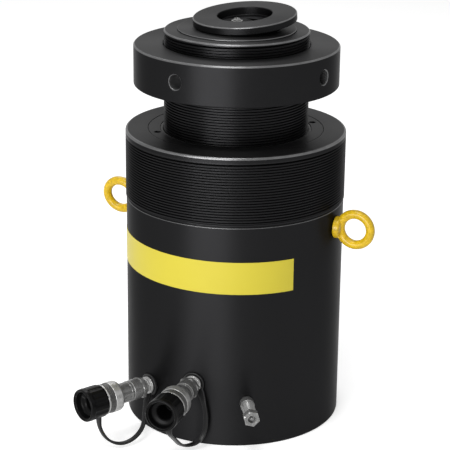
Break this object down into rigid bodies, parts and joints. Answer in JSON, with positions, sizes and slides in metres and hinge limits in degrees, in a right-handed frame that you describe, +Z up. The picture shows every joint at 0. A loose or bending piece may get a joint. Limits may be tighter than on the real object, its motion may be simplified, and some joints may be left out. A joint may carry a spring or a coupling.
{
  "type": "lock nut hydraulic cylinder",
  "caption": "Upright double-acting hydraulic jacking cylinder with threaded collar, threaded plunger, lock nut, tilting saddle, eyebolts and capped hose couplings.",
  "frame": {"origin": "centre of the base face, on the cylinder's axis", "axes": "+Z up along the plunger, away from the base; -Y towards the viewer in the picture, between the left and right hose couplings and the relief valve; +X to the viewer's right"},
  "size_m": [0.3279, 0.3285, 0.4626],
  "materials": {
    "black_steel": "semi-gloss black finish on machined steel",
    "gland_steel": "satin black",
    "bright_steel": "bright zinc plate",
    "machined_steel": "machined",
    "yellow_zinc": "glossy yellow",
    "bronze": "machined bronze",
    "seal_rubber": "matte",
    "cap_rubber": "satin rubber"
  },
  "bodies": {
    "cylinder": {"barrel": "black_steel", "passage_plug": "machined_steel", "gland_ring": "gland_steel", "rod_seal": "seal_rubber", "gland_bearing": "bronze", "wiper_ring": "seal_rubber", "gland_o_ring": "seal_rubber", "eyebolt_left": "yellow_zinc", "eyebolt_right": "yellow_zinc", "relief_valve": "bright_steel", "relief_valve_cap": "bright_steel", "relief_poppet": "machined_steel", "relief_spring": "machined_steel", "left_adaptor": "bright_steel", "left_coupler": "bright_steel", "left_poppet_spring": "machined_steel", "left_cap_strap": "cap_rubber", "right_adaptor": "bright_steel", "right_coupler": "bright_steel", "right_poppet_spring": "machined_steel", "right_cap_strap": "cap_rubber"},
    "nut": {"lock_nut": "black_steel"},
    "ram": {"plunger": "black_steel", "piston": "machined_steel", "piston_seal": "seal_rubber", "piston_guide_rings": "bronze", "piston_nut": "machined_steel", "saddle_seat": "black_steel", "saddle_screw": "bright_steel", "saddle_washer": "bright_steel"},
    "retainer": {"saddle_retainer": "black_steel"},
    "saddle": {"saddle": "black_steel"},
    "left_collar": {"left_collar": "bright_steel"},
    "left_cap": {"left_dust_cap": "cap_rubber"},
    "left_poppet": {"left_poppet": "bright_steel"},
    "right_collar": {"right_collar": "bright_steel"},
    "right_cap": {"right_dust_cap": "cap_rubber"},
    "right_poppet": {"right_poppet": "bright_steel"}
  },
  "joints": [
    {"name": "nut_run", "type": "slide", "parent": "cylinder", "child": "nut", "axis": [0, 0, 1], "range_m": [-0.0504, 0]},
    {"name": "ram_lift", "type": "slide", "parent": "nut", "child": "ram", "axis": [0, 0, 1], "range_m": [0, 0.0488]},
    {"name": "retainer_swivel", "type": "hinge", "parent": "ram", "child": "retainer", "pos_m": [0, 0, 0.4495], "axis": [0, 0, 1], "continuous": true},
    {"name": "saddle_tilt", "type": "hinge", "parent": "ram", "child": "saddle", "pos_m": [0, 0, 0.5772], "axis": [-0.6157, 0.788, 0], "range_deg": [0, 10]},
    {"name": "left_collar_turn", "type": "hinge", "parent": "cylinder", "child": "left_collar", "pos_m": [-0.13789, -0.1157, 0.054], "axis": [-0.766, -0.6428, 0], "continuous": true},
    {"name": "left_cap_pull", "type": "slide", "parent": "cylinder", "child": "left_cap", "axis": [-0.766, -0.6428, 0], "range_m": [0, 0.024], "deforming": ["left_cap_strap"]},
    {"name": "left_poppet_push", "type": "slide", "parent": "cylinder", "child": "left_poppet", "axis": [0.766, 0.6428, 0], "range_m": [0, 0.004], "stiffness_N_per_m": 1500, "springref_m": -0.003, "deforming": ["left_poppet_spring"]},
    {"name": "right_collar_turn", "type": "hinge", "parent": "cylinder", "child": "right_collar", "pos_m": [-0.06451, -0.16804, 0.072], "axis": [-0.3584, -0.9336, 0], "continuous": true},
    {"name": "right_cap_pull", "type": "slide", "parent": "cylinder", "child": "right_cap", "axis": [-0.3584, -0.9336, 0], "range_m": [0, 0.024], "deforming": ["right_cap_strap"]},
    {"name": "right_poppet_push", "type": "slide", "parent": "cylinder", "child": "right_poppet", "axis": [0.3584, 0.9336, 0], "range_m": [0, 0.004], "stiffness_N_per_m": 1500, "springref_m": -0.003, "deforming": ["right_poppet_spring"]}
  ]
}
